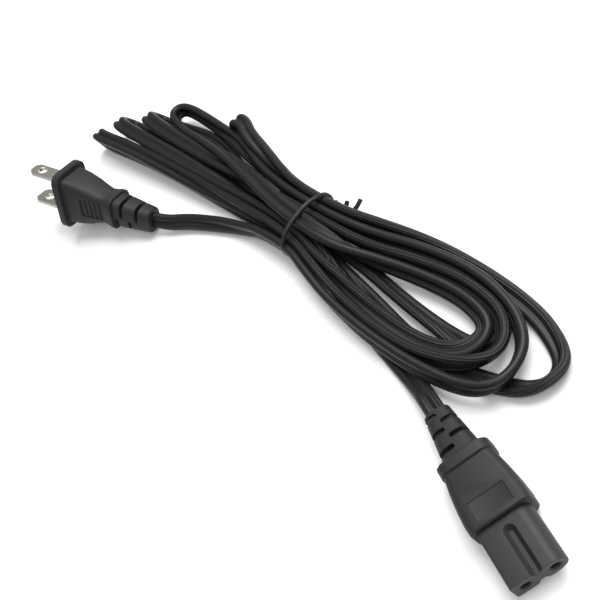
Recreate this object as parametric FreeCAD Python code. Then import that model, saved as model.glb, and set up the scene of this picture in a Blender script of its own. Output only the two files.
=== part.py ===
import FreeCAD, Part
import math
import os

# Figure eight mains lead: a two-hole connector, a flat twin cord gathered in a tied hank,
# and a polarised two-blade plug. Millimetres, +Z up, the floor at z = 0.
# The connector lies along Y with its nose towards -Y, centred on the origin.

Vector = FreeCAD.Vector
Placement = FreeCAD.Placement
Rotation = FreeCAD.Rotation
os.makedirs("parts", exist_ok=True)

# Facets that round off one corner of a moulding, or one edge of the cord
CORNER_FACETS = 3

# Flat twin cord
CORD_WIDTH = 6.1
CORD_THICK = 3.05
LEG_RADIUS = 1.475
STRAND_RADIUS = 0.8
STRAND_LENGTH = 6.6
LEG_GAP = 0.25
FIT = 0.1
RUN_OUT = 5.0

# Connector, measured back from the front face of its nose
NOSE_WIDTH = 15.8
NOSE_HEIGHT = 7.8
NOSE_LENGTH = 15.9
NOSE_CORNER = 0.9
PITCH = 8.6
MOUTH_RADIUS = 1.5
MOUTH_LENGTH = 1.8
GROOVE_LIP = 1.8
GROOVE_FLOOR = 0.6
GROOVE_DEPTH = 1.7
GROOVE_END = 13.8
BODY_HEIGHT = 11.6
BODY_FRONT_WIDTH = 18.5
BODY_WIDTH = 18.8
BODY_REAR_WIDTH = 15.2
BODY_REAR_HEIGHT = 10.2
BODY_LENGTH = 17.4
BODY_CORNER = 2.4
COLLAR_WIDTH = 16.2
COLLAR_LENGTH = 3.6
COLLAR_CORNER = 3.4
BOOT_LENGTH = 15.9
BOOT_WIDTH = 11.8
BOOT_HEIGHT = 9.6
BOOT_END_WIDTH = 8.0
BOOT_END_HEIGHT = 5.4
EDGE = 0.4
WINDOW_WIDTH = 11.0
WINDOW_LENGTH = 5.6
WINDOW_START = 17.8
WINDOW_DEPTH = 0.25
SLOT_WIDTH = 1.6
SLOT_CORE = 0.4

# Contacts
CONTACT_BORE = 1.2
CONTACT_WALL = 0.5
CONTACT_LENGTH = 10.0
CONTACT_NECK = 2.0
CONTACT_SLIT = 0.4
CRIMP_LENGTH = 5.0
CRIMP_WALL = 0.45
ROOT_LENGTH = 4.1
ROOT_WALL = 0.8

# Plug, measured back from the front face of its flange
BLADE_PITCH = 12.7
BLADE_REACH = 17.0
BLADE_THICK = 1.5
NARROW_BLADE = 6.35
WIDE_BLADE = 7.94
BLADE_HOLE = 1.98
BLADE_HOLE_AT = 12.0
BLADE_TAPER = 1.6
BLADE_ROOT = 7.0
TAIL_INSET = 1.3
TAIL_RADIUS = 1.3
FLANGE_WIDTH = 24.5
FLANGE_HEIGHT = 17.5
FLANGE_THICK = 3.0
FLANGE_CORNER = 3.8
PLUG_WIDTH = 20.0
PLUG_HEIGHT = 14.0
NECK_WIDTH = 12.4
NECK_HEIGHT = 10.6
NECK_AT = 20.5
HUMP_WIDTH = 13.6
HUMP_HEIGHT = 12.4
HUMP_AT = 25.0
PLUG_BOOT_WIDTH = 11.6
PLUG_BOOT_HEIGHT = 10.0
PLUG_BOOT_AT = 29.0
PLUG_END_WIDTH = 9.6
PLUG_END_HEIGHT = 7.8
PLUG_LENGTH = 42.0
GRIP_WIDTH = 8.0
GRIP_START = 10.5
GRIP_RIBS = 5
GRIP_PITCH = 2.1
GRIP_DEPTH = 0.15
RIB_DEPTH = 0.3
BRIDGE_WIDTH = 16.4
BRIDGE_HEIGHT = 10.4
BRIDGE_LENGTH = 6.0
BRIDGE_CORNER = 1.2
BRIDGE_AT = 0.8

# How the plug lies: turned about Z, nose raised, rolled about its own length
PLUG_HEADING = 125.9
PLUG_RISE = 14.3
PLUG_ROLL = 116.9
PLUG_FACE_X = -75.0
PLUG_FACE_Y = 197.9
PLUG_FACE_Z = 15.6

# Hank: along and across are measured from the tie
TIE_X = -2.5
TIE_Y = 114.0
HANK_HEADING = -70.1
HANK_LIFT = 1.05
WAIST_HEIGHT = 13.4
WAIST_NEAR = -12.2
WAIST_FAR = 11.4
WAIST_LENGTH = 28.0
RING_HEIGHT = 9.4
RING_REACH = 106.0
FOLD_HEIGHT = 11.3
FIRST_FOLD = 125.0
SECOND_FOLD = 118.5
THIRD_FOLD = 106.0
FOURTH_FOLD = 92.5
FOURTH_WIDTH = 9.0
FIFTH_FOLD = 60.0
TIE_RADIUS = 0.45
MITRED = 2

# Derived places
REACH = NOSE_LENGTH + BODY_LENGTH + COLLAR_LENGTH + BOOT_LENGTH
CONNECTOR = Placement(Vector(0, -REACH / 2, BODY_HEIGHT / 2), Rotation())
PLUG_FACE = Vector(PLUG_FACE_X, PLUG_FACE_Y, PLUG_FACE_Z)
TIE_AT = Vector(TIE_X, TIE_Y, 0)
BODY_END = NOSE_LENGTH + BODY_LENGTH
COLLAR_END = BODY_END + COLLAR_LENGTH
HANK = Placement(TIE_AT, Rotation(Vector(0, 0, 1), HANK_HEADING))


def plug_placement():
    rotation = Rotation(Vector(0, 0, 1), PLUG_HEADING - 90)
    rotation = rotation.multiply(Rotation(Vector(1, 0, 0), PLUG_RISE))
    rotation = rotation.multiply(Rotation(Vector(0, 1, 0), PLUG_ROLL))
    return Placement(PLUG_FACE, rotation)


def rounded_corners(width, height, corner, at):
    """The points of a rounded rectangle across the Y axis, each corner in a few short facets."""
    corner = min(corner, 0.48 * width, 0.48 * height)
    points = []
    for quarter, (side, level) in enumerate([(1, 1), (-1, 1), (-1, -1), (1, -1)]):
        x = side * (width / 2 - corner)
        z = level * (height / 2 - corner)
        for step in range(CORNER_FACETS + 1):
            angle = math.radians(90 * (quarter + step / CORNER_FACETS))
            points.append(Vector(x + corner * math.cos(angle), at, z + corner * math.sin(angle)))
    return points


def flat_face(points):
    return Part.Face(Part.makePolygon(points + points[:1]))


def moulding(sections):
    """A body drawn through rounded sections, one after another along Y."""
    rings = [rounded_corners(*section) for section in sections]
    faces = [flat_face(rings[0]), flat_face(rings[-1])]
    for ring, following in zip(rings, rings[1:]):
        turned = ring[1:] + ring[:1]
        turned_following = following[1:] + following[:1]
        for corners in zip(ring, turned, turned_following, following):
            faces.append(flat_face(list(corners)))
    body = Part.makeSolid(Part.makeShell(faces))
    if body.Volume < 0:
        body.reverse()
    return body


def rod(radius, start, end):
    """A round bar between two points."""
    return Part.makeCylinder(radius, (end - start).Length, start, end - start)


def rounded_route(points):
    """Straight runs joined by tangent arcs, each as large as its two runs allow."""
    edges = []
    radii = []
    start = points[0]
    for before, corner, after in zip(points, points[1:], points[2:]):
        back = (before - corner).normalize()
        ahead = (after - corner).normalize()
        run = 0.45 * min((before - corner).Length, (after - corner).Length)
        half_turn = (math.pi - back.getAngle(ahead)) / 2
        radius = run / math.tan(half_turn)
        bulge = radius / math.cos(half_turn) - radius
        into = corner + back * run
        out = corner + ahead * run
        middle = corner + (back + ahead).normalize() * bulge
        edges.append(Part.makeLine(start, into))
        edges.append(Part.Arc(into, middle, out).toShape())
        radii.append(radius)
        start = out
    edges.append(Part.makeLine(start, points[-1]))
    return Part.Wire(edges), radii


def swept(route, section):
    return route.makePipe(Part.Face(section))


def bent_rod(points, radius):
    """Round bars end to end through the points, with a sharp bend at each."""
    bars = [rod(radius, start, end) for start, end in zip(points, points[1:])]
    return bars[0].fuse(bars[1:])


def flat_tube(points, wide):
    """The flat cord along a route, its width starting along `wide`."""
    route, radii = rounded_route(points)
    along = (points[1] - points[0]).normalize()
    wide = (wide - along * wide.dot(along)).normalize()
    thin = along.cross(wide)
    half = (CORD_WIDTH - CORD_THICK) / 2
    outline = []
    for side in (1, -1):
        for step in range(2 * CORNER_FACETS + 1):
            angle = math.radians(90 * (1 - step / CORNER_FACETS))
            outline.append(points[0] + wide * side * (half + CORD_THICK / 2 * math.cos(angle))
                           + thin * side * CORD_THICK / 2 * math.sin(angle))
    section = Part.makePolygon(outline + outline[:1])
    return swept(route, section), route, radii


def side_slot(inner, at, side, reach, core_width, core_height):
    """A slot with a rounded end round one side of a strain relief, down to its core."""
    half = SLOT_WIDTH / 2
    turns = [math.radians(90 * step / CORNER_FACETS) for step in range(2 * CORNER_FACETS + 1)]
    outline = [Vector(-half * math.sin(turn), half * math.cos(turn), -reach) for turn in turns]
    outline += [Vector(2 * reach, -half, -reach), Vector(2 * reach, half, -reach)]
    slot = flat_face(outline).extrude(Vector(0, 0, 2 * reach))
    if side < 0:
        slot = slot.mirror(Vector(0, 0, 0), Vector(1, 0, 0))
    slot.translate(Vector(side * inner, at, 0))
    core = Part.makeBox(core_width, 2 * SLOT_WIDTH, core_height,
                        Vector(-core_width / 2, at - SLOT_WIDTH, -core_height / 2))
    return slot.cut(core)


# Connector: hard insert with the figure eight nose
def figure_eight(start, length):
    """The nose's outline: one lobe round, the other squared."""
    radius = NOSE_HEIGHT / 2
    lobe = NOSE_WIDTH / 2 - radius
    square = moulding([(NOSE_WIDTH, NOSE_HEIGHT, NOSE_CORNER, start),
                       (NOSE_WIDTH, NOSE_HEIGHT, NOSE_CORNER, start + length)])
    keep = Part.makeBox(NOSE_WIDTH / 2 + lobe, length, NOSE_HEIGHT,
                        Vector(-NOSE_WIDTH / 2, start, -radius))
    round_lobe = Part.makeCylinder(radius, length, Vector(lobe, start, 0), Vector(0, 1, 0))
    return square.common(keep).fuse(round_lobe).removeSplitter()


def nose_groove():
    """The groove between the lobes, open at the front and round at its closed end."""
    top = NOSE_HEIGHT / 2
    floor = top - GROOVE_DEPTH
    centre = GROOVE_END - GROOVE_LIP
    corners = [(-GROOVE_LIP, top), (GROOVE_LIP, top), (GROOVE_FLOOR, floor), (-GROOVE_FLOOR, floor)]
    outline = Part.makePolygon([Vector(x, 0, z) for x, z in corners + corners[:1]])
    channel = Part.Face(outline).extrude(Vector(0, centre, 0))
    end = Part.makeCone(GROOVE_FLOOR, GROOVE_LIP, GROOVE_DEPTH, Vector(0, centre, floor))
    return channel.fuse(end)


def connector_insert():
    block = figure_eight(0, NOSE_LENGTH)
    groove = nose_groove()
    block = block.cut([groove, groove.mirror(Vector(0, 0, 0), Vector(0, 0, 1))])
    chamber = CONTACT_BORE + CONTACT_WALL + FIT
    root_height = 2 * (chamber + ROOT_WALL)
    root_end = NOSE_LENGTH + ROOT_LENGTH
    block = block.fuse(moulding([(PITCH + root_height, root_height, 1.0, NOSE_LENGTH),
                                 (PITCH + root_height, root_height, 1.0, root_end)]))
    along = Vector(0, 1, 0)
    for side in (-1, 1):
        x = side * PITCH / 2
        block = block.cut(Part.makeCylinder(MOUTH_RADIUS, MOUTH_LENGTH, Vector(x, 0, 0), along))
        block = block.cut(Part.makeCone(MOUTH_RADIUS + EDGE, MOUTH_RADIUS, EDGE, Vector(x, 0, 0), along))
        block = block.cut(Part.makeCylinder(chamber, root_end - MOUTH_LENGTH,
                                            Vector(x, MOUTH_LENGTH, 0), along))
    return block


def contact():
    """A rolled spring barrel, its neck and the crimp that grips the conductor."""
    outer = CONTACT_BORE + CONTACT_WALL
    crimp = STRAND_RADIUS + FIT / 2
    front = MOUTH_LENGTH + FIT
    rear = front + CONTACT_LENGTH
    neck = rear + CONTACT_NECK
    profile = [(CONTACT_BORE, front), (outer, front), (outer, rear + CONTACT_WALL),
               (STRAND_RADIUS, rear + CONTACT_WALL), (STRAND_RADIUS, neck),
               (crimp + CRIMP_WALL, neck), (crimp + CRIMP_WALL, neck + CRIMP_LENGTH),
               (crimp, neck + CRIMP_LENGTH), (crimp, neck + CRIMP_WALL), (0, neck + CRIMP_WALL),
               (0, rear), (CONTACT_BORE, rear)]
    outline = Part.makePolygon([Vector(x, y, 0) for x, y in profile + profile[:1]])
    turned = Part.Face(outline).revolve(Vector(0, 0, 0), Vector(0, 1, 0), 360)
    slit = Part.makeBox(outer * 2, CONTACT_LENGTH, CONTACT_SLIT, Vector(0, front, -CONTACT_SLIT / 2))
    return turned.cut(slit)


def conductor(start, back):
    """The bared copper strands in a crimp, as one round bundle."""
    return rod(STRAND_RADIUS, start, start + back * STRAND_LENGTH)


def connector_pieces():
    """Every piece of the connector, in its own frame, by name."""
    pieces = {"connector_insert": connector_insert()}
    crimp_start = MOUTH_LENGTH + FIT + CONTACT_LENGTH + CONTACT_NECK + CRIMP_WALL
    strand_end = crimp_start + STRAND_LENGTH
    inner = []
    for side, name in ((-1, "square"), (1, "round")):
        x = side * PITCH / 2
        lead = side * (LEG_RADIUS + FIT / 4)
        piece = contact()
        if side < 0:
            piece = piece.mirror(Vector(0, 0, 0), Vector(1, 0, 0))
        piece.translate(Vector(x, 0, 0))
        pieces["contact_" + name] = piece
        strands = conductor(Vector(x, crimp_start, 0), Vector(0, 1, 0))
        points = [Vector(x, strand_end + LEG_GAP, 0), Vector(lead, COLLAR_END, 0), Vector(lead, REACH, 0)]
        leg = bent_rod(points, LEG_RADIUS)
        pieces["connector_strands_" + name] = strands
        pieces["connector_leg_" + name] = leg
        inner += [strands, leg]
    shell = connector_overmould()
    pieces["connector_overmould"] = shell.cut([pieces["connector_insert"]] + chambers() + inner)
    return pieces


def chambers():
    """The space that the two contacts take behind the insert's root."""
    start = NOSE_LENGTH + ROOT_LENGTH
    crimp_end = MOUTH_LENGTH + FIT + CONTACT_LENGTH + CONTACT_NECK + CRIMP_LENGTH
    reach = STRAND_RADIUS + CRIMP_WALL + FIT
    first = NOSE_LENGTH
    room = CONTACT_BORE + CONTACT_WALL + FIT
    shapes = []
    for side in (-1, 1):
        x = side * PITCH / 2
        shapes.append(Part.makeCylinder(room, start - first, Vector(x, first, 0), Vector(0, 1, 0)))
        if crimp_end > start:
            shapes.append(Part.makeCylinder(reach, crimp_end - start, Vector(x, start, 0), Vector(0, 1, 0)))
    return shapes


def connector_overmould():
    """Housing, collar and slotted strain relief, moulded in one round the insert."""
    front = NOSE_LENGTH
    drop = BODY_HEIGHT - BODY_REAR_HEIGHT
    narrowing = BODY_WIDTH - BODY_REAR_WIDTH
    body = moulding([
        (BODY_FRONT_WIDTH - 2 * EDGE, BODY_HEIGHT - 2 * EDGE, BODY_CORNER, front),
        (BODY_FRONT_WIDTH, BODY_HEIGHT, BODY_CORNER, front + EDGE),
        (BODY_WIDTH, BODY_HEIGHT - 0.2 * drop, BODY_CORNER, front + 0.2 * BODY_LENGTH),
        (BODY_WIDTH - 0.16 * narrowing, BODY_HEIGHT - 0.45 * drop, BODY_CORNER, front + 0.45 * BODY_LENGTH),
        (BODY_WIDTH - 0.5 * narrowing, BODY_HEIGHT - 0.72 * drop, BODY_CORNER, front + 0.72 * BODY_LENGTH),
        (BODY_REAR_WIDTH, BODY_REAR_HEIGHT, BODY_CORNER, BODY_END)])
    collar = moulding([
        (COLLAR_WIDTH - 2 * EDGE, BODY_HEIGHT - 2 * EDGE, COLLAR_CORNER, BODY_END),
        (COLLAR_WIDTH, BODY_HEIGHT, COLLAR_CORNER, BODY_END + EDGE),
        (COLLAR_WIDTH, BODY_HEIGHT, COLLAR_CORNER, COLLAR_END - EDGE),
        (COLLAR_WIDTH - 2 * EDGE, BODY_HEIGHT - 2 * EDGE, COLLAR_CORNER, COLLAR_END)])
    boot = moulding([
        (BOOT_WIDTH, BOOT_HEIGHT, 3.2, COLLAR_END),
        (BOOT_END_WIDTH, BOOT_END_HEIGHT, 2.5, REACH - EDGE),
        (BOOT_END_WIDTH - 2 * EDGE, BOOT_END_HEIGHT - 2 * EDGE, 2.2, REACH)])
    slope = math.degrees(math.atan2(drop / 2, BODY_LENGTH))
    window = moulding([(WINDOW_WIDTH, 2, 0.3, 0), (WINDOW_WIDTH, 2, 0.3, WINDOW_LENGTH)])
    window.rotate(Vector(0, 0, 0), Vector(1, 0, 0), -slope)
    top = BODY_HEIGHT / 2 - drop / 2 * (WINDOW_START - front) / BODY_LENGTH
    window.translate(Vector(0, WINDOW_START, top + 1 - WINDOW_DEPTH))
    core = (CORD_WIDTH + 2 * SLOT_CORE, CORD_THICK + 2 * SLOT_CORE)
    slots = [side_slot(SLOT_WIDTH / 2, COLLAR_END + share * BOOT_LENGTH, -1, BOOT_WIDTH, *core)
             for share in (0.16, 0.535, 0.87)]
    slots += [side_slot(SLOT_WIDTH / 2, COLLAR_END + share * BOOT_LENGTH, 1, BOOT_WIDTH, *core)
              for share in (0.36, 0.70)]
    return body.fuse([collar, boot]).cut([window] + slots)


# Plug: blades, the bridge that carries them and the moulding round both
def blade(width, side):
    """A flat blade with its hole, tapered tip, root and crimped tail."""
    half = width / 2
    tip = BLADE_REACH
    corners = [(-BLADE_ROOT, -half), (tip - BLADE_TAPER, -half), (tip, -half + BLADE_TAPER),
               (tip, half - BLADE_TAPER), (tip - BLADE_TAPER, half), (-BLADE_ROOT, half)]
    outline = Part.makePolygon([Vector(0, y, z) for y, z in corners + corners[:1]])
    sheet = Part.Face(outline).extrude(Vector(BLADE_THICK, 0, 0))
    sheet.translate(Vector(-BLADE_THICK / 2, 0, 0))
    hole = Part.makeCylinder(BLADE_HOLE, 2 * BLADE_THICK, Vector(-BLADE_THICK, BLADE_HOLE_AT, 0),
                             Vector(1, 0, 0))
    crimp = STRAND_RADIUS + FIT / 2
    inset = -side * TAIL_INSET
    end = -BLADE_ROOT - CRIMP_LENGTH
    tail = rod(TAIL_RADIUS, Vector(inset, -BLADE_ROOT, 0), Vector(inset, end, 0))
    bore = rod(crimp, Vector(inset, -BLADE_ROOT - CRIMP_WALL, 0), Vector(inset, end, 0))
    piece = sheet.cut(hole).fuse(tail).cut(bore)
    piece.translate(Vector(side * BLADE_PITCH / 2, 0, 0))
    return piece


def plug_overmould():
    """Flange, grip, hump and slotted strain relief, moulded in one."""
    flange = moulding([
        (FLANGE_WIDTH - 2 * EDGE, FLANGE_HEIGHT - 2 * EDGE, FLANGE_CORNER, 0),
        (FLANGE_WIDTH, FLANGE_HEIGHT, FLANGE_CORNER, -EDGE),
        (FLANGE_WIDTH, FLANGE_HEIGHT, FLANGE_CORNER, -FLANGE_THICK + EDGE),
        (FLANGE_WIDTH - 2 * EDGE, FLANGE_HEIGHT - 2 * EDGE, FLANGE_CORNER, -FLANGE_THICK)])
    slim = PLUG_WIDTH - NECK_WIDTH
    thin = PLUG_HEIGHT - NECK_HEIGHT
    body = moulding([
        (PLUG_WIDTH, PLUG_HEIGHT, 2.5, -FLANGE_THICK),
        (PLUG_WIDTH - 0.14 * slim, PLUG_HEIGHT - 0.3 * thin, 2.5, -8.5),
        (PLUG_WIDTH - 0.42 * slim, PLUG_HEIGHT - 0.6 * thin, 2.8, -13.5),
        (PLUG_WIDTH - 0.8 * slim, PLUG_HEIGHT - 0.85 * thin, 3, -17.5),
        (NECK_WIDTH, NECK_HEIGHT, 3, -NECK_AT),
        (HUMP_WIDTH - 0.6, HUMP_HEIGHT - 0.9, 3, -HUMP_AT + 1.6),
        (HUMP_WIDTH, HUMP_HEIGHT, 3.2, -HUMP_AT + 0.4),
        (HUMP_WIDTH, HUMP_HEIGHT, 3.2, -HUMP_AT - 0.8)])
    boot = moulding([
        (PLUG_BOOT_WIDTH + 0.6, PLUG_BOOT_HEIGHT + 0.6, 3, -HUMP_AT),
        (PLUG_BOOT_WIDTH, PLUG_BOOT_HEIGHT, 3, -PLUG_BOOT_AT),
        (PLUG_END_WIDTH, PLUG_END_HEIGHT, 2.8, -PLUG_LENGTH + EDGE),
        (PLUG_END_WIDTH - 2 * EDGE, PLUG_END_HEIGHT - 2 * EDGE, 2.6, -PLUG_LENGTH)])
    core = (CORD_WIDTH + 2 * SLOT_CORE, CORD_THICK + 2 * SLOT_CORE)
    slots = [side_slot(0, -at, -1, PLUG_BOOT_WIDTH, *core) for at in (29.8, 36.6)]
    slots += [side_slot(SLOT_WIDTH, -at, 1, PLUG_BOOT_WIDTH, *core) for at in (27.4, 33.2)]
    return flange.fuse([body, boot]).cut(slots + grips())


def grips():
    """The ribbed finger grip sunk in both broad faces."""
    length = (GRIP_RIBS - 1) * GRIP_PITCH + GRIP_PITCH
    slope = math.degrees(math.atan2((PLUG_HEIGHT - NECK_HEIGHT) / 2, NECK_AT - FLANGE_THICK))
    share = (GRIP_START - FLANGE_THICK) / (NECK_AT - FLANGE_THICK)
    top = PLUG_HEIGHT / 2 - share * (PLUG_HEIGHT - NECK_HEIGHT) / 2
    shapes = [Part.makeBox(GRIP_WIDTH, length, 3, Vector(-GRIP_WIDTH / 2, -length, -GRIP_DEPTH))]
    for index in range(GRIP_RIBS):
        start = -(index + 0.8) * GRIP_PITCH
        shapes.append(Part.makeBox(GRIP_WIDTH, 0.6 * GRIP_PITCH, 3,
                                   Vector(-GRIP_WIDTH / 2, start, -GRIP_DEPTH - RIB_DEPTH)))
    tool = shapes[0].fuse(shapes[1:])
    tool.rotate(Vector(0, 0, 0), Vector(1, 0, 0), slope)
    tool.translate(Vector(0, -GRIP_START, top))
    return [tool, tool.mirror(Vector(0, 0, 0), Vector(0, 0, 1))]


def plug_pieces():
    """Every piece of the plug, in its own frame, by name."""
    pieces = {}
    inner = []
    crimp_start = -BLADE_ROOT - CRIMP_WALL
    strand_end = crimp_start - STRAND_LENGTH
    bridge = moulding([(BRIDGE_WIDTH, BRIDGE_HEIGHT, BRIDGE_CORNER, -BRIDGE_AT),
                       (BRIDGE_WIDTH, BRIDGE_HEIGHT, BRIDGE_CORNER, -BRIDGE_AT - BRIDGE_LENGTH)])
    for side, name, width in ((-1, "narrow", NARROW_BLADE), (1, "wide", WIDE_BLADE)):
        metal = blade(width, side)
        x = side * (BLADE_PITCH / 2 - TAIL_INSET)
        lead = side * (LEG_RADIUS + FIT / 4)
        strands = conductor(Vector(x, crimp_start, 0), Vector(0, -1, 0))
        points = [Vector(x, strand_end - LEG_GAP, 0), Vector(lead, -PLUG_BOOT_AT, 0),
                  Vector(lead, -PLUG_LENGTH, 0)]
        leg = bent_rod(points, LEG_RADIUS)
        pieces["blade_" + name] = metal
        pieces["plug_strands_" + name] = strands
        pieces["plug_leg_" + name] = leg
        inner += [metal, strands, leg]
        bridge = bridge.cut(metal)
    pieces["plug_bridge"] = bridge
    pieces["plug_overmould"] = plug_overmould().cut([bridge] + inner)
    return pieces


# Cord: the two free runs, the tied hank and its tie
CONNECTOR_RUN = [
    CONNECTOR.multVec(Vector(0, REACH, 0)),
    CONNECTOR.multVec(Vector(0, REACH + RUN_OUT, 0)),
    Vector(-0.4, 37.3, 3.4),
    Vector(-1.2, 44, 1.9),
    Vector(-2.0, 50.5, 1.6)]
PLUG_RUN = [
    plug_placement().multVec(Vector(0, -PLUG_LENGTH, 0)),
    plug_placement().multVec(Vector(0, -PLUG_LENGTH - RUN_OUT, 0)),
    Vector(-40.2, 155.7, 3.2),
    Vector(-33.3, 147.5, 3.2),
    Vector(-26.9, 139.2, 3.5),
    Vector(-21.3, 130.6, 4.4)]


def finger(tip, start, width, height):
    """One folded end of the hank: a flat bar with a round tip, between two places on the floor."""
    along = Vector(tip[0] - start[0], tip[1] - start[1], 0)
    radius = height / 2
    length = along.Length - radius
    bar = Part.makeBox(length, width, height, Vector(0, -width / 2, 0))
    nose = Part.makeCylinder(radius, width, Vector(length, -width / 2, radius), Vector(0, 1, 0))
    shape = bar.fuse(nose)
    shape.rotate(Vector(0, 0, 0), Vector(0, 0, 1), math.degrees(math.atan2(along.y, along.x)))
    shape.translate(Vector(start[0], start[1], 0))
    return shape


def outline_block(points, height):
    """A block whose outline runs through a few points, with every corner rounded."""
    corners = [Vector(x, y, 0) for x, y in points]
    start = (corners[-1] + corners[0]) / 2
    outline = rounded_route([start] + corners + [start])[0]
    return Part.Face(outline).extrude(Vector(0, 0, height))


def cord_hank():
    """The gathered turns as one body: five folds to the left, the loops to the right."""
    waist = Part.Face(waist_section()).extrude(Vector(WAIST_LENGTH, 0, 0))
    waist.translate(Vector(-WAIST_LENGTH / 2, 0, 0))
    folds = [finger((-FIRST_FOLD, -12.2), (-6, -7.6), CORD_WIDTH, FOLD_HEIGHT),
             finger((-SECOND_FOLD, -3.2), (-6, -2.2), CORD_WIDTH, FOLD_HEIGHT),
             finger((-THIRD_FOLD, 6.2), (-6, 1.8), CORD_WIDTH, FOLD_HEIGHT),
             finger((-FOURTH_FOLD, 14.4), (-6, 5), FOURTH_WIDTH, WAIST_HEIGHT - HANK_LIFT),
             finger((-FIFTH_FOLD, 19.8), (-6, 7.4), CORD_WIDTH, FOLD_HEIGHT)]
    ring = outline_block([(7, 11), (28, 14.2), (50, 17.2), (72, 17.8), (90, 16),
                          (RING_REACH - 4.5, 10.5), (RING_REACH, 1), (RING_REACH - 3.2, -8),
                          (RING_REACH - 11, -17.5), (82, -22.8), (60, -23.2), (30, -19.4),
                          (7, -12.5)], RING_HEIGHT)
    gaps = [outline_block([(36, -0.6), (52, 3.2), (72, 3.8), (79.5, -0.6), (72, -4.0), (50, -3.0)],
                          RING_HEIGHT),
            outline_block([(43, -8.6), (58, -9.0), (73, -10.2), (62, -11.8), (50, -11.4)], RING_HEIGHT),
            outline_block([(87, 12), (96, 8.6), (100.4, 2), (99.6, -2.6), (95.2, 5)], RING_HEIGHT)]
    solid = waist.fuse(folds + [ring]).cut(gaps)
    solid.Placement = HANK
    tie_room = rod(2 * TIE_RADIUS, HANK.multVec(Vector(0, -20, 0)), HANK.multVec(Vector(0, 20, 0)))
    return solid.cut(tie_room)


def waist_section():
    """The bundle's outline where it is tied, across the hank."""
    shoulder = 0.75 * WAIST_HEIGHT
    cut = 1.4
    corners = [(WAIST_NEAR + cut, HANK_LIFT), (WAIST_FAR - cut, HANK_LIFT), (WAIST_FAR, HANK_LIFT + cut),
               (WAIST_FAR, shoulder), (3.4, WAIST_HEIGHT), (-5.4, WAIST_HEIGHT), (WAIST_NEAR, shoulder),
               (WAIST_NEAR, HANK_LIFT + cut)]
    return Part.makePolygon([Vector(0, y, z) for y, z in corners + corners[:1]])


def twist_tie():
    """One wire round the waist, its twisted tail on the far side and the two cut ends."""
    wire = 2 * TIE_RADIUS
    inside = Part.Face(waist_section().makeOffset2D(FIT, MITRED))
    outside = Part.Face(waist_section().makeOffset2D(FIT + wire, MITRED))
    band = outside.cut(inside).extrude(Vector(wire, 0, 0))
    band.translate(Vector(-TIE_RADIUS, 0, 0))
    band.Placement = HANK.multiply(band.Placement)
    side = WAIST_FAR + 2 * FIT + 2 * TIE_RADIUS
    tail = rod(2 * TIE_RADIUS, HANK.multVec(Vector(-0.2, side, 0.65 * WAIST_HEIGHT)),
               HANK.multVec(Vector(7.4, side + 0.3, 6.8)))
    short_end = rod(TIE_RADIUS, HANK.multVec(Vector(6.5, side + 0.2, 6.9)),
                    HANK.multVec(Vector(7.2, side + 2.0, 7.2)))
    end_points = [(6.9, side + 0.4, 6.7), (11.8, side + 0.7, 6.2), (12.7, side + 4.8, 6.2)]
    long_end = bent_rod([HANK.multVec(Vector(*p)) for p in end_points], TIE_RADIUS)
    return band.fuse([tail, short_end, long_end])


def cord_pieces():
    pieces = {"cord_hank": cord_hank(), "twist_tie": twist_tie()}
    section = CORD_THICK * (CORD_WIDTH - CORD_THICK) + math.pi * CORD_THICK ** 2 / 4
    runs = (("cord_connector_run", CONNECTOR_RUN, Vector(1, 0, 0)),
            ("cord_plug_run", PLUG_RUN, plug_placement().Rotation.multVec(Vector(1, 0, 0))))
    for name, points, wide in runs:
        tube, route, radii = flat_tube(points, wide)
        pieces[name] = tube.cut(pieces["cord_hank"])
        print(name, "radii", [round(radius, 1) for radius in radii],
              "volume", round(tube.Volume, 1), "section times length", round(section * route.Length, 1))
    return pieces


def place(pieces, placement):
    for piece in pieces.values():
        piece.Placement = placement.multiply(piece.Placement)
    return pieces


MODEL = place(connector_pieces(), CONNECTOR)
MODEL.update(place(plug_pieces(), plug_placement()))
MODEL.update(cord_pieces())

for node, shape in MODEL.items():
    bounds = shape.BoundBox
    print(node, "solids", len(shape.Solids), "valid", shape.isValid(), "volume", round(shape.Volume, 1),
          "lowest", round(bounds.ZMin, 3))
    shape.exportStep("parts/" + node + ".step")
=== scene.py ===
import math
import bmesh
import bpy
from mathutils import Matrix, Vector


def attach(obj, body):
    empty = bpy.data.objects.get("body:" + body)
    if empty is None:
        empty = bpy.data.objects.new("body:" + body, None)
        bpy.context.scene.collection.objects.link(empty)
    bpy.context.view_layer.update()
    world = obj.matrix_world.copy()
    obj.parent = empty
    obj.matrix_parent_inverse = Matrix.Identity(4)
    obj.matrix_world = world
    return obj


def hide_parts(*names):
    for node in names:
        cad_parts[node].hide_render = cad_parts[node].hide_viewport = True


# A figure eight mains lead in metres, +Z up: the connector points towards -Y, its cord is tied in a hank
# in the middle, and the plug lies at the far left.
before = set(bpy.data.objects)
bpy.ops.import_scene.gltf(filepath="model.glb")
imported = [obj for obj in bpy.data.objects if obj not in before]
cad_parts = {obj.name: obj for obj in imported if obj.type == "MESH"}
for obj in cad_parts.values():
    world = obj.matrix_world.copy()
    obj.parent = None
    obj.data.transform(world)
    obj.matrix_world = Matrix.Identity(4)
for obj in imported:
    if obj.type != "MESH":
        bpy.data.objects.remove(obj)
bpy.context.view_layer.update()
scene = bpy.context.scene
scene.view_settings.view_transform = "Standard"


# Camera: above the connector's nose and rolled, so that the lead runs from the lower right up to the left.
CAMERA_AT = (0.02534, -0.10229, 0.23168)
CAMERA_TILT = math.radians(30.888)
CAMERA_ROLL = math.radians(28.333)
CAMERA_PAN = math.radians(-25.796)
CAMERA_LENS = 55.5
CAMERA_NEAR = 0.01


def linked(name, data):
    thing = bpy.data.objects.new(name, data)
    scene.collection.objects.link(thing)
    return thing


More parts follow.
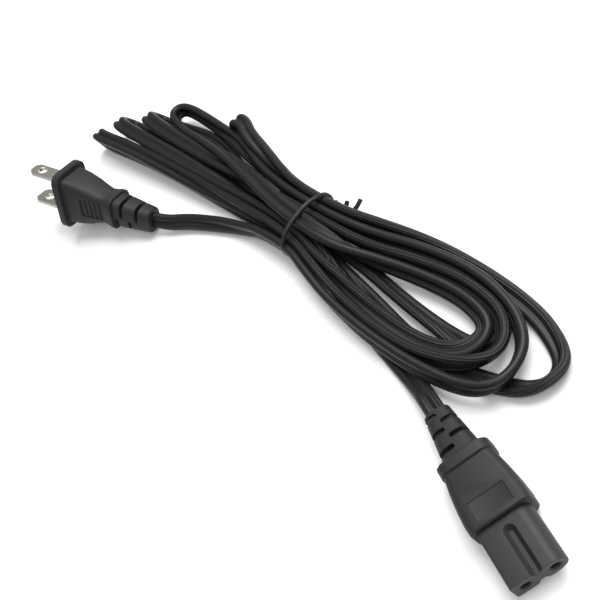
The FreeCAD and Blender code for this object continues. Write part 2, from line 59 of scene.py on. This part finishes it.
camera = linked("camera", bpy.data.cameras.new("camera"))
camera.location = CAMERA_AT
camera.rotation_euler = (CAMERA_TILT, CAMERA_ROLL, CAMERA_PAN)
camera.data.lens = CAMERA_LENS
camera.data.clip_start = CAMERA_NEAR
scene.camera = camera


# Cord: flat twin flex, two cores side by side in one soft PVC sheath, extruded as one length, with fine ribs
# along one core. It was laid in a hank by hand: five folds to the left, and to the right four loops that
# can be seen and a small one under them.
CORD_WIDTH = 0.0061
CORE_RADIUS = CORD_WIDTH / 4
GROOVE_HALF = 0.0008
CORE_STEPS = 12
CORE_SWEEP = math.radians(280)
LINE_STEPS = 12
EDGE_OFFSET = 0.001
CORD_EXIT = Vector((0, 0.0264, 0.0058))
BOOT_REACH = 0.0024
FOLD_SLANT = 0.4
FOLD_SHOULDER = 0.577
FOLD_DRIFT = 0.15
TIE_AT = Vector((-0.0025, 0.114, 0))
TIE_SPAN = 0.016
TIE_LIFT = 0.001
HANK_HEADING = math.radians(-70.1)
SHEEN = 0.27
METAL_SHEEN = 0.5
GRAIN_STRENGTH = 0.5
GRAIN_DETAIL = 3
RIB_COUNT = 11
RIB_STRENGTH = 0.8
RIB_DEPTH = 0.00008
FIRST_CORE_SHARE = 0.5
JACKET_COLOUR = (0.010, 0.0108, 0.0115)
JACKET_ROUGHNESS = 0.42
JACKET_GRAIN = 2500
JACKET_GRAIN_DEPTH = 0.00004

# Each row is a place, then the way that the cord's width points there.
CONNECTOR_RUN = [
    (0, CORD_EXIT.y - BOOT_REACH, 0.0058, 1, 0, 0), (0, 0.0314, 0.0058, 1, 0, 0),
    (-0.0004, 0.0373, 0.0034, 1, 0, 0), (-0.0012, 0.044, 0.0019, 1, 0, 0),
    (-0.002, 0.0505, 0.0016, 1, 0, 0), (-0.0031, 0.0585, 0.0016, 1, 0, 0)]
PLUG_RUN = [
    (-0.0213, 0.1306, 0.0044, -0.15, 0, -1), (-0.0269, 0.1392, 0.0034, -0.4, -0.3, -0.9),
    (-0.0333, 0.1475, 0.0028, -0.6, -0.5, -0.6), (-0.0402, 0.1550, 0.0032, -0.66, -0.58, -0.5),
    (-0.0478, 0.1607, 0.0042, -0.6, -0.4, -0.65), (-0.0523, 0.1666, 0.0058, -0.495, -0.087, -0.864)]


def fold(tip, near, far, low, high, side=1):
    """Five places round a tight upright fold whose tip is `tip` along the hank."""
    radius = abs(high - low) / 2
    centre = tip + radius
    shoulder = FOLD_SHOULDER * radius
    step = FOLD_DRIFT * (far - near)
    wide = (side * FOLD_SLANT, side, 0)
    return [(centre + shoulder, near, low, *wide), (centre - shoulder, near + step, low, *wide),
            (centre - 2 * shoulder, (near + far) / 2, (low + high) / 2, *wide),
            (centre - shoulder, far - step, high, *wide), (centre + shoulder, far, high, *wide)]


# In the hank a row's place is along it from the tie, across it and up.
HANK_ROUTE = [
    # In towards the tie, flat on the floor
    (0.046, -0.018, 0.0016, 0, 1, 0), (0.032, -0.0144, 0.0016, 0, 1, 0),
    (0.016, -0.009, 0.0016, 0, 1, 0),
    # Out along the floor to the first left fold
    (-0.012, -0.0063, 0.0016, 0, 1, 0), (-0.038, -0.007, 0.0016, 0, 1, 0),
    (-0.066, -0.0074, 0.0016, 0, 1, 0), (-0.095, -0.0088, 0.0016, 0, 1, 0),
    *fold(-0.125, -0.0116, -0.0126, 0.0016, 0.0098),
    # Back on top of it, turning on edge at the tie
    (-0.105, -0.011, 0.0094, 0, 1, 0), (-0.085, -0.0094, 0.0086, 0, 1, .2),
    (-0.058, -0.0082, 0.0072, 0, 1, .6), (-0.032, -0.007, 0.0064, 0, .4, 1),
    (-0.012, -0.0063, 0.0063, 0, 0, 1),
    # Right-hand loop on edge, third from the outside
    (0.003, -0.0076, 0.0063, 0, 0, 1), (0.015, -0.0109, 0.0063, 0, 0, 1),
    (0.028, -0.0142, 0.0063, 0, 0, 1), (0.046, -0.017, 0.0063, 0, .2, 1),
    (0.064, -0.0175, 0.0063, 0, .35, 1), (0.079, -0.0134, 0.006, -.1, .3, 1),
    (0.0868, -0.0056, 0.0056, .5, 0, .9), (0.0858, 0.0012, 0.0054, .7, .2, .8),
    (0.0785, 0.0068, 0.0053, .4, .7, .8), (0.064, 0.0088, 0.0054, 0, .8, .8),
    (0.046, 0.0072, 0.0058, 0, .4, 1), (0.028, 0.004, 0.0063, 0, 0, 1),
    (0.012, 0.00315, 0.0063, 0, 0, 1),
    # Over the top to the third left fold
    (-0.012, 0.00315, 0.0063, 0, 0, 1), (-0.033, 0.0034, 0.0074, 0, -.5, 1),
    (-0.056, 0.0026, 0.0088, 0, -1, .3), (-0.08, 0.0026, 0.0093, 0, -1, 0),
    *fold(-0.106, 0.0036, 0.0078, 0.0096, 0.0016, -1),
    # Back beneath it
    (-0.087, 0.0094, 0.0016, 0, -1, 0), (-0.074, 0.0112, 0.0016, 0, -1, 0),
    (-0.06, 0.0098, 0.0016, 0, -1, 0), (-0.046, 0.0052, 0.0026, 0, -.8, .6),
    (-0.032, 0.0009, 0.0046, 0, -.5, 1), (-0.012, 0, 0.0063, 0, 0, 1),
    # The long right-hand loop, flat where the others cross it and leaning outward beyond them
    (0.003, -0.0014, 0.0063, 0, 0, 1), (0.014, -0.0045, 0.0054, 0, -.2, 1),
    (0.026, -0.0074, 0.0036, 0, -.8, .6), (0.041, -0.0102, 0.0024, 0, -1, .2),
    (0.054, -0.0128, 0.0018, 0, -1, 0), (0.066, -0.0145, 0.0016, 0, -1, 0),
    (0.08, -0.0137, 0.0016, 0, -1, 0), (0.092, -0.0108, 0.0018, .2, -1, .1),
    (0.0995, -0.0078, 0.0024, .5, -.6, .6), (0.1035, -0.0026, 0.003, .5, 0, .9),
    (0.1032, 0.0032, 0.0026, .7, .4, .6), (0.0978, 0.0075, 0.002, .5, .8, .3),
    (0.0875, 0.0118, 0.0018, .3, 1, .1), (0.07, 0.0144, 0.0022, 0, 1, .3),
    (0.048, 0.0148, 0.0038, 0, .7, .8), (0.028, 0.0125, 0.0055, 0, .2, 1),
    (0.012, 0.0096, 0.0063, 0, 0, 1),
    # The short left fold
    (-0.012, 0.0096, 0.0063, 0, 0, 1), (-0.026, 0.012, 0.007, 0, .5, 1),
    (-0.038, 0.0148, 0.0086, 0, 1, .4), (-0.048, 0.0173, 0.0096, 0, 1, 0),
    *fold(-0.0605, 0.0205, 0.0184, 0.0098, 0.0016),
    # Back beneath it
    (-0.046, 0.0152, 0.0016, 0, 1, 0), (-0.032, 0.0114, 0.0016, 0, 1, 0),
    (-0.012, 0.0064, 0.0016, 0, 1, 0),
    # Small loop lying flat, inside the others
    (0.012, 0.0064, 0.0016, 0, 1, 0), (0.03, 0.0054, 0.0016, 0, 1, 0), (0.05, 0.0064, 0.0016, 0, 1, 0),
    (0.065, 0.0074, 0.0016, 0, 1, 0), (0.0745, 0.0068, 0.0016, .3, 1, 0),
    (0.0808, 0.0046, 0.0016, .8, .8, 0), (0.0828, -0.0002, 0.0016, 1, 0, 0),
    (0.0805, -0.0048, 0.0016, .8, -.8, 0), (0.0735, -0.0064, 0.0018, .2, -1, 0),
    (0.062, -0.0058, 0.0028, 0, -.8, .7),
    (0.046, -0.0042, 0.003, 0, -.7, .8), (0.028, -0.0014, 0.0026, 0, -.7, .7),
    (0.012, -0.0002, 0.0016, 0, -1, 0),
    # Along the floor to the second left fold
    (-0.012, 0, 0.0016, 0, -1, 0), (-0.038, -0.0008, 0.0016, 0, -1, 0),
    (-0.066, -0.0004, 0.0016, 0, -1, 0), (-0.09, 0.0002, 0.0016, 0, -1, 0),
    *fold(-0.119, 0, -0.0044, 0.0016, 0.0098, -1),
    # Back on top of it
    (-0.1, -0.0042, 0.0094, 0, -1, 0), (-0.08, -0.0038, 0.0088, 0, -1, 0),
    (-0.056, -0.0032, 0.0076, 0, -1, .4), (-0.032, -0.003, 0.0066, 0, -.3, 1),
    (-0.012, -0.00315, 0.0063, 0, 0, 1),
    # Innermost right-hand loop on edge, then up on top of the bundle
    (0.003, -0.0045, 0.0063, 0, 0, 1), (0.014, -0.0076, 0.0064, 0, 0, 1),
    (0.027, -0.0104, 0.0068, 0, .7, .8), (0.041, -0.0128, 0.007, 0, 1, .5),
    (0.054, -0.0140, 0.007, 0, 1, .2), (0.067, -0.0138, 0.0068, 0, 1, .1),
    (0.0768, -0.0104, 0.0064, -.5, .8, .1), (0.0806, -0.0036, 0.0058, -1, 0, -.3),
    (0.0782, 0.0022, 0.0054, -.6, -.6, -.6), (0.066, 0.0048, 0.0052, 0, -.8, -.8),
    (0.05, 0.0036, 0.0056, 0, -.7, -.9), (0.034, 0.0008, 0.0068, 0, -.4, -1),
    (0.024, -0.001, 0.0086, 0, .3, -1), (0.014, -0.0016, 0.0104, 0, .9, -.4),
    # Left on top of everything and round the fourth fold, which stands on edge
    (0.002, -0.0012, 0.0109, 0, 1, 0), (-0.014, 0.0004, 0.0109, 0, 1, 0),
    (-0.032, 0.0038, 0.0112, 0, 1, -.3), (-0.05, 0.0062, 0.0098, 0, .6, -1),
    (-0.068, 0.0068, 0.0082, 0, 0, -1), (-0.0795, 0.007, 0.0074, 0, 0, -1),
    (-0.087, 0.0084, 0.0072, 0, 0, -1), (-0.092, 0.0096, 0.007, 0, 0, -1),
    (-0.0942, 0.0124, 0.0066, .1, 0, -1), (-0.0924, 0.0154, 0.0062, .2, -.2, -1),
    (-0.087, 0.0163, 0.0056, .1, -.4, -.9), (-0.08, 0.0162, 0.0052, 0, -.5, -.85),
    (-0.067, 0.0154, 0.0048, 0, -.6, -.8), (-0.055, 0.0140, 0.0056, 0, -1, -.3),
    (-0.044, 0.0116, 0.0057, 0, -.6, -.8),
    (-0.032, 0.0087, 0.0058, 0, -.1, -1), (-0.012, 0.00635, 0.0063, 0, 0, -1),
    # Outermost right-hand loop, leaning outward a little
    (0.012, 0.00635, 0.0063, 0, 0, -1), (0.028, 0.0082, 0.006, 0, -.2, -1),
    (0.046, 0.0114, 0.0057, 0, -.6, -.9), (0.065, 0.0126, 0.0056, 0, -.7, -.8),
    (0.081, 0.0094, 0.0052, -.3, -.6, -.9), (0.0908, 0.0032, 0.005, -.6, -.2, -.9),
    (0.094, -0.0045, 0.0055, -.5, 0, -.9), (0.0932, -0.0118, 0.006, -.2, 0, -1),
    (0.0868, -0.0176, 0.006, .1, -.4, -1), (0.07, -0.0203, 0.006, 0, -.5, -1),
    (0.05, -0.0203, 0.0062, 0, -.4, -1), (0.03, -0.018, 0.0063, 0, 0, -1), (0.015, -0.0143, 0.0063, 0, 0, -1),
    # Out again towards the plug
    (0.003, -0.0107, 0.0063, 0, 0, -1), (-0.015, -0.0108, 0.0052, 0, 0, -1)]


def hank_turned(along, across, up):
    """A direction in the hank as a direction in the lead."""
    cosine = math.cos(HANK_HEADING)
    sine = math.sin(HANK_HEADING)
    return Vector((along * cosine - across * sine, along * sine + across * cosine, up))


def hank_place(along, across, up):
    return TIE_AT + hank_turned(along, across, up)


def hank_row(row):
    along, across, up = row[:3]
    if abs(along) <= TIE_SPAN:
        up += TIE_LIFT
    return hank_place(along, across, up), hank_turned(*row[3:]).normalized()


def free_row(row):
    return Vector(row[:3]), Vector(row[3:]).normalized()


def smooth_line(places):
    """The points of a NURBS spline that has these places as its control points."""
    data = bpy.data.curves.new("route", "CURVE")
    data.dimensions = "3D"
    data.resolution_u = LINE_STEPS
    spline = data.splines.new("NURBS")
    spline.points.add(len(places) - 1)
    for point, place in zip(spline.points, places):
        point.co = (*place, 1)
    spline.order_u = 3
    spline.use_endpoint_u = True
    route = linked("route", data)
    line = bpy.data.meshes.new_from_object(route)
    points = [vertex.co.copy() for vertex in line.vertices]
    bpy.data.objects.remove(route)
    bpy.data.meshes.remove(line)
    return points


def twin_outline():
    """Two round cores and the groove between them, as shares across and through the cord."""
    outline = []
    for side in (1, -1):
        for step in range(CORE_STEPS + 1):
            angle = CORE_SWEEP * (step / CORE_STEPS - 0.5)
            across = side * CORE_RADIUS * (1 + math.cos(angle))
            outline.append((across, side * CORE_RADIUS * math.sin(angle)))
        outline.append((0, side * GROOVE_HALF))
    return outline


def flat_cord(name, rows):
    """A mesh tube along the rows' spline, its width turning as the rows say."""
    places = [place for place, wide in rows]
    line = smooth_line(places)
    edge = smooth_line([place + wide * EDGE_OFFSET for place, wide in rows])
    outline = twin_outline()
    count = len(outline)
    verts = []
    lengths = [0.0]
    for index, point in enumerate(line):
        before = line[max(index - 1, 0)]
        after = line[min(index + 1, len(line) - 1)]
        ahead = (after - before).normalized()
        wide = edge[index] - point
        wide = (wide - ahead * wide.dot(ahead)).normalized()
        thick = ahead.cross(wide)
        verts += [point + wide * across + thick * through for across, through in outline]
        lengths.append(lengths[-1] + (after - point).length)
    faces = []
    for ring in range(len(line) - 1):
        for step in range(count):
            following = (step + 1) % count
            faces.append((ring * count + step, ring * count + following,
                          (ring + 1) * count + following, (ring + 1) * count + step))
    faces.append(tuple(reversed(range(count))))
    faces.append(tuple(range(len(verts) - count, len(verts))))
    mesh = bpy.data.meshes.new(name)
    mesh.from_pydata(verts, [], faces)
    round_and_along = mesh.uv_layers.new(name="cord")
    for ring in range(len(line) - 1):
        for step in range(count):
            first = 4 * (ring * count + step)
            for corner, (right, up) in enumerate(((0, 0), (1, 0), (1, 1), (0, 1))):
                round_and_along.data[first + corner].uv = ((step + right) / count, lengths[ring + up])
    mesh.shade_smooth()
    return linked(name, mesh), line


def plain_finish(name, colour, roughness, metallic=0.0):
    """A new material, with its uniform values set on the shader's sockets."""
    made = bpy.data.materials.new(name)
    made.use_nodes = True
    shader = made.node_tree.nodes["Principled BSDF"]
    shader.inputs["Base Color"].default_value = (*colour, 1)
    shader.inputs["Roughness"].default_value = roughness
    shader.inputs["Metallic"].default_value = metallic
    shader.inputs["Specular IOR Level"].default_value = METAL_SHEEN if metallic else SHEEN
    return made


def maths(tree, operation):
    node = tree.nodes.new("ShaderNodeMath")
    node.operation = operation
    return node


def grained(made, scale, depth):
    """Fine grain as a bump, read from the piece's own coordinates."""
    tree = made.node_tree
    place = tree.nodes.new("ShaderNodeTexCoord")
    noise = tree.nodes.new("ShaderNodeTexNoise")
    noise.inputs["Scale"].default_value = scale
    noise.inputs["Detail"].default_value = GRAIN_DETAIL
    bump = tree.nodes.new("ShaderNodeBump")
    bump.inputs["Strength"].default_value = GRAIN_STRENGTH
    bump.inputs["Distance"].default_value = depth
    tree.links.new(place.outputs["Object"], noise.inputs["Vector"])
    tree.links.new(noise.outputs["Fac"], bump.inputs["Height"])
    tree.links.new(bump.outputs["Normal"], tree.nodes["Principled BSDF"].inputs["Normal"])
    return place, bump


def ribbed(made, place, grain):
    """Fine ribs along the core that the first half of the outline goes round."""
    tree = made.node_tree
    split = tree.nodes.new("ShaderNodeSeparateXYZ")
    first = maths(tree, "LESS_THAN")
    first.inputs[1].default_value = FIRST_CORE_SHARE
    turns = maths(tree, "MULTIPLY")
    turns.inputs[1].default_value = 2 * math.pi * RIB_COUNT / FIRST_CORE_SHARE
    wave = maths(tree, "SINE")
    height = maths(tree, "MULTIPLY")
    bump = tree.nodes.new("ShaderNodeBump")
    bump.inputs["Strength"].default_value = RIB_STRENGTH
    bump.inputs["Distance"].default_value = RIB_DEPTH
    for source, target in (
            (place.outputs["UV"], split.inputs[0]), (split.outputs["X"], first.inputs[0]),
            (split.outputs["X"], turns.inputs[0]), (turns.outputs[0], wave.inputs[0]),
            (wave.outputs[0], height.inputs[0]), (first.outputs[0], height.inputs[1]),
            (height.outputs[0], bump.inputs["Height"]), (bump.outputs["Normal"], grain.inputs["Normal"])):
        tree.links.new(source, target)


rows = [free_row(row) for row in CONNECTOR_RUN]
rows += [hank_row(row) for row in HANK_ROUTE]
rows += [free_row(row) for row in PLUG_RUN]
cord, cord_line = flat_cord("cord", rows)
jacket = plain_finish("cord_jacket", JACKET_COLOUR, JACKET_ROUGHNESS)
ribbed(jacket, *grained(jacket, JACKET_GRAIN, JACKET_GRAIN_DEPTH))
cord.data.materials.append(jacket)
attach(cord, "root")
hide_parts("cord_hank", "cord_connector_run", "cord_plug_run")


# Floor and light: a plain white sheet, one large soft light on the far side and a weaker one above the nose.
# The sheet glows a little where the camera looks at it, and keeps the soft shadow under the lead.
FLOOR_SIZE = 3.0
FLOOR_GAP = 0.0001
FLOOR_GLOW = 0.08
SHEET_COLOUR = (0.85, 0.85, 0.85)
SHEET_ROUGHNESS = 0.9
SKY_LEVEL = 0.34
LIGHT_AIM = Vector((0, 0.1, 0))
FAR_LIGHT_AT = Vector((0.38, 0.3, 0.8))
FAR_LIGHT_SIZE = 0.8
FAR_LIGHT_POWER = 12.5
TOP_LIGHT_AT = Vector((0.0, -0.3, 0.8))
TOP_LIGHT_SIZE = 0.6
TOP_LIGHT_POWER = 2


def seen_directly(tree):
    """One where a camera, mirror or glass ray looks straight at the surface."""
    path = tree.nodes.new("ShaderNodeLightPath")
    total = path.outputs["Is Camera Ray"]
    for other in ("Is Glossy Ray", "Is Transmission Ray"):
        add = maths(tree, "ADD")
        add.use_clamp = True
        tree.links.new(total, add.inputs[0])
        tree.links.new(path.outputs[other], add.inputs[1])
        total = add.outputs[0]
    return total


floor_mesh = bpy.data.meshes.new("floor")
half = FLOOR_SIZE / 2
floor_mesh.from_pydata([(-half, -half, -FLOOR_GAP), (half, -half, -FLOOR_GAP), (half, half, -FLOOR_GAP),
                        (-half, half, -FLOOR_GAP)], [], [(0, 1, 2, 3)])
floor = linked("floor", floor_mesh)
paper = plain_finish("white_sheet", SHEET_COLOUR, SHEET_ROUGHNESS)
paper_shader = paper.node_tree.nodes["Principled BSDF"]
paper_shader.inputs["Emission Color"].default_value = (1, 1, 1, 1)
glow = maths(paper.node_tree, "MULTIPLY")
glow.inputs[1].default_value = FLOOR_GLOW
paper.node_tree.links.new(seen_directly(paper.node_tree), glow.inputs[0])
paper.node_tree.links.new(glow.outputs[0], paper_shader.inputs["Emission Strength"])
floor_mesh.materials.append(paper)

world = bpy.data.worlds.new("studio")
world.use_nodes = True
sky = world.node_tree.nodes["Background"]
sky.inputs["Color"].default_value = (1, 1, 1, 1)
sky.inputs["Strength"].default_value = SKY_LEVEL
scene.world = world


def soft_light(name, place, size, power):
    light = linked(name, bpy.data.lights.new(name, "AREA"))
    light.data.shape = "DISK"
    light.data.size = size
    light.data.energy = power
    light.location = place
    light.rotation_euler = (LIGHT_AIM - place).to_track_quat("-Z", "Y").to_euler()


soft_light("far_side", FAR_LIGHT_AT, FAR_LIGHT_SIZE, FAR_LIGHT_POWER)
soft_light("overhead", TOP_LIGHT_AT, TOP_LIGHT_SIZE, TOP_LIGHT_POWER)


# Twist tie: one steel wire in a dark plastic coat, pulled round the hank and twisted low on its far side.
# Its two cut ends stand out past the bundle.
WIRE_RADIUS = 0.0008
WIRE_STEPS = 8
WIRE_ROUNDNESS = 3
COAT_COLOUR = (0.020, 0.0195, 0.017)
COAT_ROUGHNESS = 0.4
TWIST_TURNS = 2.5
TWIST_STEPS = 12
TWIST_SIDES = 10
BAND_ALONG = 0.0016
BAND_HEIGHTS = [(-0.0092, 0.0009), (0, 0.0009), (0.0093, 0.0009), (0.0113, 0.0034), (0.0122, 0.0075),
                (0.0104, 0.0110), (0.0040, 0.0139), (-0.0010, 0.0141), (-0.0060, 0.0139),
                (-0.0112, 0.0112), (-0.0124, 0.0080), (-0.0116, 0.0035)]
TWIST_START = (BAND_ALONG, 0.0116, 0.0030)
TWIST_END = (0.0084, 0.0108, 0.0028)
SHORT_END = [(0.0078, 0.0106, 0.0030), (0.0074, 0.0140, 0.0052)]
LONG_END = [(0.0080, 0.0110, 0.0028), (0.0122, 0.0114, 0.0036), (0.0118, 0.0167, 0.0054)]

coat = plain_finish("tie_wire", COAT_COLOUR, COAT_ROUGHNESS)


def wire(name, rows, closed=False):
    """A round coated wire along a smooth line through the hank, as a mesh."""
    data = bpy.data.curves.new(name, "CURVE")
    data.dimensions = "3D"
    data.resolution_u = WIRE_STEPS
    data.bevel_depth = WIRE_RADIUS
    data.bevel_resolution = WIRE_ROUNDNESS
    data.use_fill_caps = not closed
    spline = data.splines.new("NURBS")
    spline.points.add(len(rows) - 1)
    for point, row in zip(spline.points, rows):
        point.co = (*hank_place(*row), 1)
    spline.order_u = 3
    spline.use_endpoint_u = not closed
    spline.use_cyclic_u = closed
    drawn = linked(name, data)
    made = linked(name, bpy.data.meshes.new_from_object(drawn))
    bpy.data.objects.remove(drawn)
    made.name = name
    made.data.shade_smooth()
    made.data.materials.append(coat)
    return made


def twist_tree():
    """Nodes that wind a wire round a straight line: one of the two wires of the twist."""
    tree = bpy.data.node_groups.new("wire_twist", "GeometryNodeTree")
    tree.interface.new_socket("Geometry", in_out="INPUT", socket_type="NodeSocketGeometry")
    named = {}
    for name, kind in (("Turns", "Float"), ("Phase", "Float"), ("Radius", "Float"), ("Points", "Int"),
                       ("Material", "Material")):
        socket = tree.interface.new_socket(name, in_out="INPUT", socket_type="NodeSocket" + kind)
        named[name] = socket.identifier
    tree.interface.new_socket("Geometry", in_out="OUTPUT", socket_type="NodeSocketGeometry")

    def node(kind, operation=None):
        made = tree.nodes.new(kind)
        if operation:
            made.operation = operation
        return made

    given = node("NodeGroupInput").outputs
    line = node("GeometryNodeMeshToCurve")
    points = node("GeometryNodeResampleCurve")
    share = node("GeometryNodeSplineParameter")
    ahead = node("GeometryNodeInputTangent")
    side = node("ShaderNodeVectorMath", "CROSS_PRODUCT")
    side.inputs[1].default_value = (0, 0, 1)
    unit = node("ShaderNodeVectorMath", "NORMALIZE")
    turn = node("ShaderNodeMath", "MULTIPLY")
    whole = node("ShaderNodeMath", "MULTIPLY")
    whole.inputs[1].default_value = 2 * math.pi
    angle = node("ShaderNodeMath", "ADD")
    wound = node("ShaderNodeVectorRotate")
    reach = node("ShaderNodeVectorMath", "SCALE")
    move = node("GeometryNodeSetPosition")
    ring = node("GeometryNodeCurvePrimitiveCircle")
    ring.inputs["Resolution"].default_value = TWIST_SIDES
    tube = node("GeometryNodeCurveToMesh")
    tube.inputs["Fill Caps"].default_value = True
    smooth = node("GeometryNodeSetShadeSmooth")
    real = node("GeometryNodeRealizeInstances")
    coated = node("GeometryNodeSetMaterial")
    result = node("NodeGroupOutput")
    for source, target in (
            (given["Geometry"], line.inputs["Mesh"]), (line.outputs["Curve"], points.inputs["Curve"]),
            (given["Points"], points.inputs["Count"]), (ahead.outputs["Tangent"], side.inputs[0]),
            (side.outputs["Vector"], unit.inputs[0]), (share.outputs["Factor"], turn.inputs[0]),
            (given["Turns"], turn.inputs[1]), (turn.outputs[0], whole.inputs[0]),
            (whole.outputs[0], angle.inputs[0]), (given["Phase"], angle.inputs[1]),
            (unit.outputs["Vector"], wound.inputs["Vector"]),
            (ahead.outputs["Tangent"], wound.inputs["Axis"]),
            (angle.outputs[0], wound.inputs["Angle"]), (wound.outputs["Vector"], reach.inputs[0]),
            (given["Radius"], reach.inputs["Scale"]), (points.outputs["Curve"], move.inputs["Geometry"]),
            (reach.outputs["Vector"], move.inputs["Offset"]),
            (move.outputs["Geometry"], tube.inputs["Curve"]),
            (given["Radius"], ring.inputs["Radius"]), (ring.outputs["Curve"], tube.inputs["Profile Curve"]),
            (tube.outputs["Mesh"], smooth.inputs["Geometry"]),
            (smooth.outputs["Geometry"], real.inputs["Geometry"]),
            (real.outputs["Geometry"], coated.inputs["Geometry"]),
            (given["Material"], coated.inputs["Material"]),
            (coated.outputs["Geometry"], result.inputs["Geometry"])):
        tree.links.new(source, target)
    return tree, named


wind, wind_sockets = twist_tree()


def twisted(name, phase):
    """One wire of the twist, as a plain mesh."""
    mesh = bpy.data.meshes.new(name)
    mesh.from_pydata([hank_place(*TWIST_START), hank_place(*TWIST_END)], [(0, 1)], [])
    piece = linked(name, mesh)
    modifier = piece.modifiers.new("twist", "NODES")
    modifier.node_group = wind
    for socket, value in (("Turns", TWIST_TURNS), ("Phase", phase), ("Radius", WIRE_RADIUS),
                          ("Points", int(TWIST_TURNS * TWIST_STEPS) + 1), ("Material", coat)):
        modifier[wind_sockets[socket]] = value
    evaluated = piece.evaluated_get(bpy.context.evaluated_depsgraph_get())
    piece.data = bpy.data.meshes.new_from_object(evaluated)
    piece.modifiers.clear()
    return piece


tie_pieces = [wire("tie_band", [(BAND_ALONG, across, up) for across, up in BAND_HEIGHTS], True),
              twisted("tie_twist_first", 0.0), twisted("tie_twist_second", math.pi),
              wire("tie_short_end", SHORT_END), wire("tie_long_end", LONG_END)]
for piece in tie_pieces:
    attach(piece, "root")
    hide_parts("twist_tie")


# Connector: hard black insert with the figure eight nose, and a softer moulding shot round it and the cord.
# The moulding has a satin texture from the tool; the slots behind the collar let it bend with the cord.
EDGE_ROUND = 0.00012
EDGE_STEPS = 2
SMOOTH_ANGLE = math.radians(36)
FLAT_ANGLE = math.radians(0.5)
SAME_PLACE = 1e-6
MOULDING_COLOUR = (0.019, 0.0195, 0.0195)
MOULDING_ROUGHNESS = 0.55
MOULDING_GRAIN = 3500
MOULDING_GRAIN_DEPTH = 0.00004
INSERT_COLOUR = (0.028, 0.0285, 0.0285)
INSERT_ROUGHNESS = 0.5
INSERT_GRAIN = 4000
INSERT_GRAIN_DEPTH = 0.00002


def dressed(node, material, edge=EDGE_ROUND):
    """A copy of a CAD node with merged vertices, smooth curves and softened edges."""
    piece = linked(node + "_piece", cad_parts[node].data.copy())
    shape = bmesh.new()
    shape.from_mesh(piece.data)
    bmesh.ops.remove_doubles(shape, verts=shape.verts, dist=SAME_PLACE)
    bmesh.ops.dissolve_limit(shape, angle_limit=FLAT_ANGLE, verts=shape.verts, edges=shape.edges)
    for seam in shape.edges:
        seam.smooth = len(seam.link_faces) == 2 and seam.calc_face_angle(0) < SMOOTH_ANGLE
    for face in shape.faces:
        face.smooth = True
    shape.to_mesh(piece.data)
    shape.free()
    if edge:
        bevel = piece.modifiers.new("edge", "BEVEL")
        bevel.width = edge
        bevel.segments = EDGE_STEPS
        bevel.limit_method = "ANGLE"
        bevel.angle_limit = SMOOTH_ANGLE
    piece.data.materials.clear()
    piece.data.materials.append(material)
    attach(piece, "root")
    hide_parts(node)
    return piece


moulded = plain_finish("moulding", MOULDING_COLOUR, MOULDING_ROUGHNESS)
grained(moulded, MOULDING_GRAIN, MOULDING_GRAIN_DEPTH)
hard = plain_finish("insert", INSERT_COLOUR, INSERT_ROUGHNESS)
grained(hard, INSERT_GRAIN, INSERT_GRAIN_DEPTH)
dressed("connector_overmould", moulded)
dressed("connector_insert", hard)


# Contacts and conductors: rolled brass barrels in the two holes, and bared copper in their crimps.
# Only the barrels' mouths can be seen; the rest keeps its plain shape inside the mouldings.
# Painted shade: the brass colour is set far darker than bright brass, so that the barrels' mouths look dark,
# as if deep in shade inside the holes.
BRASS_PAINTED_SHADE_COLOUR = (0.30, 0.21, 0.10)
BRASS_ROUGHNESS = 0.5
COPPER_COLOUR = (0.80, 0.36, 0.22)
COPPER_ROUGHNESS = 0.4

# The dark brass colour here is painted shade for the deep holes, not the metal's own tone.
shaded_brass = plain_finish("contact_brass", BRASS_PAINTED_SHADE_COLOUR, BRASS_ROUGHNESS, 1.0)
copper = plain_finish("copper", COPPER_COLOUR, COPPER_ROUGHNESS, 1.0)
for node in ("contact_square", "contact_round"):
    dressed(node, shaded_brass, 0)
for node in ("connector_strands_square", "connector_strands_round",
             "plug_strands_narrow", "plug_strands_wide"):
    dressed(node, copper, 0)
for node in ("connector_leg_square", "connector_leg_round", "plug_leg_narrow", "plug_leg_wide"):
    dressed(node, jacket, 0)


# Plug: the same satin moulding in one piece with flange, ribbed grip and slotted strain relief.
# The blades are nickel-plated brass strip, held by a bridge of hard plastic inside.
NICKEL_COLOUR = (0.52, 0.50, 0.45)
NICKEL_ROUGHNESS = 0.32
BLADE_EDGE = 0.0001

nickel = plain_finish("blade_nickel", NICKEL_COLOUR, NICKEL_ROUGHNESS, 1.0)
plug = dressed("plug_overmould", moulded)
bridge = dressed("plug_bridge", hard, 0)
blades = [dressed(node, nickel, BLADE_EDGE) for node in ("blade_narrow", "blade_wide")]
